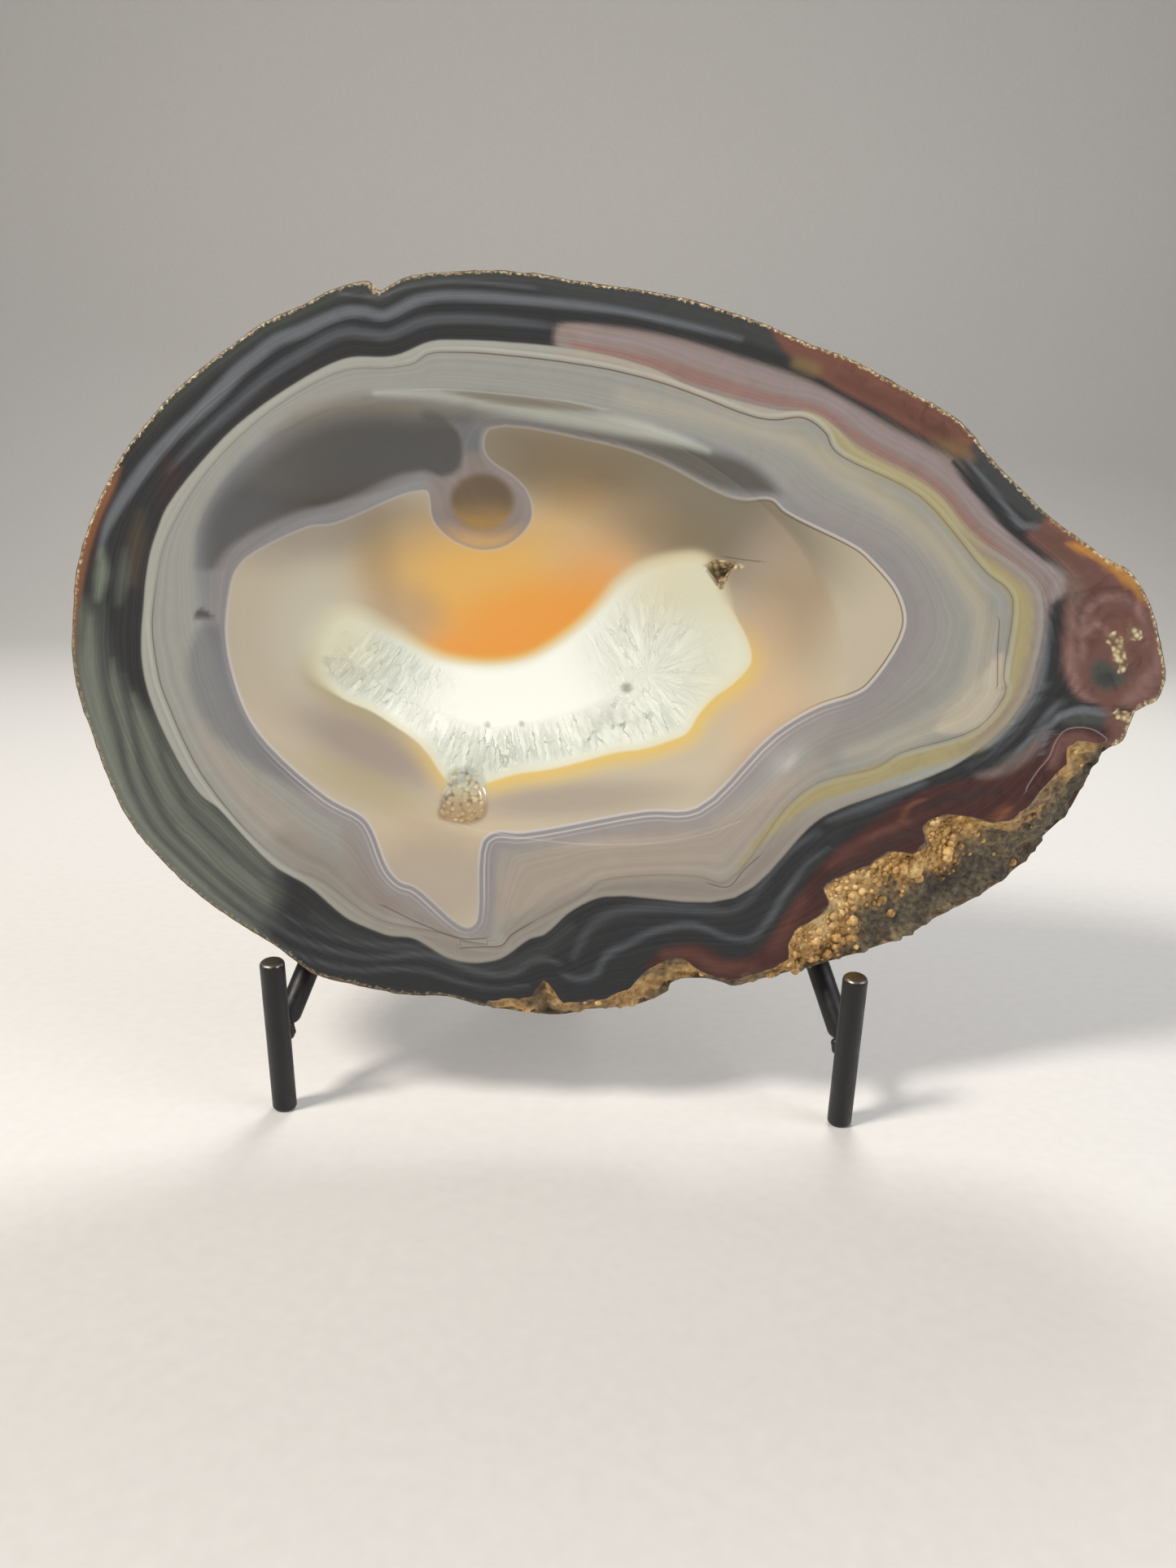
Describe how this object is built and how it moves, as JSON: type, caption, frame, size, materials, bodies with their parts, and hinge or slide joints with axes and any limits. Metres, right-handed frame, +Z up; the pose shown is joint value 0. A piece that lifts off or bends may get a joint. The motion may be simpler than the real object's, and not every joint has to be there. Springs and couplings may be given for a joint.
{
  "type": "polished banded agate",
  "caption": "Polished banded agate slab with a shallow dish ground into its flat face, resting upright on a small black iron easel.",
  "frame": {"origin": "on the surface it stands on, under the middle of the whole", "axes": "+X to the right along the stone's length, +Y away from the viewer towards the rear leg, +Z up"},
  "size_m": [0.2242, 0.1096, 0.172],
  "materials": {
    "agate": "ground flat and polished to a wet gloss, natural rind left on the edge and back",
    "iron": "satin black paint over wrought bar"
  },
  "bodies": {
    "root": {"agate": "agate", "front_post_left": "iron", "front_post_right": "iron", "back_arm_left": "iron", "back_arm_right": "iron", "top_crossbar": "iron", "middle_crossbar": "iron", "rear_leg": "iron"}
  },
  "joints": []
}
